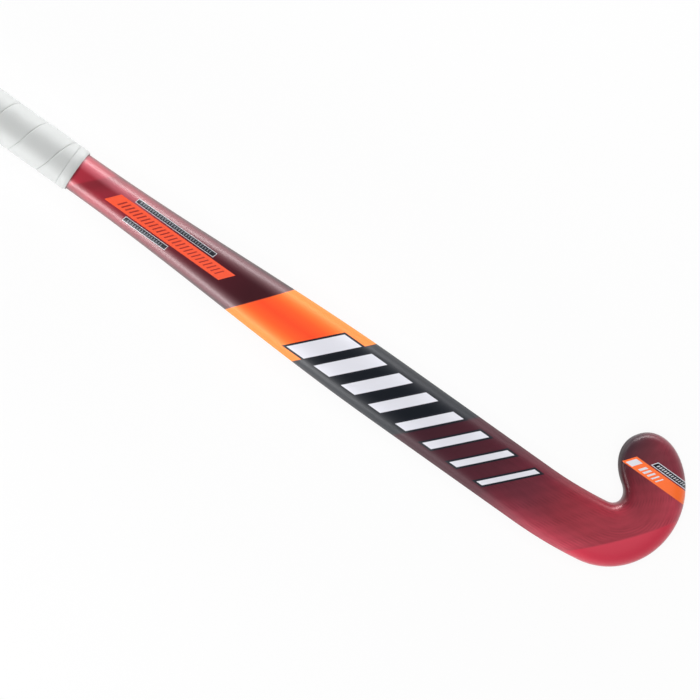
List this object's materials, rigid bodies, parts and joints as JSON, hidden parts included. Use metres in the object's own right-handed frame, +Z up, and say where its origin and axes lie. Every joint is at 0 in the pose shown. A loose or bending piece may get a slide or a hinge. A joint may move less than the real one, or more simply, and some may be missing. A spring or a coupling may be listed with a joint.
{
  "type": "indoor hockey stick",
  "caption": "Indoor field hockey stick with a hooked head, flat playing side, rounded back, slight bow and a spiral wound grip.",
  "frame": {"origin": "middle of the footprint, on the surface that the stick lies on", "axes": "+X along the shaft from the butt to the head, +Y to the side the toe points to, +Z up out of the rounded back; the stick lies on its flat playing side"},
  "size_m": [0.9285, 0.1182, 0.0441],
  "materials": {
    "lacquered_composite": "fibre composite under tinted gloss lacquer, crimson, wine, orange and black",
    "mulberry_wood": "bare laminated mulberry",
    "handle_cane": "bare handle staves",
    "damper_rubber": "matt black rubber",
    "carbon": "straight fibre carbon strip in resin",
    "grip_polyurethane": "soft white polyurethane wrap with fine grain",
    "finishing_tape": "satin white tape",
    "end_cap_rubber": "pale rubber"
  },
  "bodies": {
    "root": {"composite_sleeve": "lacquered_composite", "head_ply_1": "mulberry_wood", "head_ply_2": "mulberry_wood", "head_ply_3": "mulberry_wood", "head_ply_4": "mulberry_wood", "head_ply_5": "mulberry_wood", "head_ply_6": "mulberry_wood", "handle_stave_heel_side": "handle_cane", "handle_stave_centre": "handle_cane", "handle_stave_toe_side": "handle_cane", "damper_slip_heel_side": "damper_rubber", "damper_slip_toe_side": "damper_rubber", "face_strip": "carbon", "grip_tape": "grip_polyurethane", "finishing_tape": "finishing_tape", "butt_cap": "end_cap_rubber"}
  },
  "joints": []
}
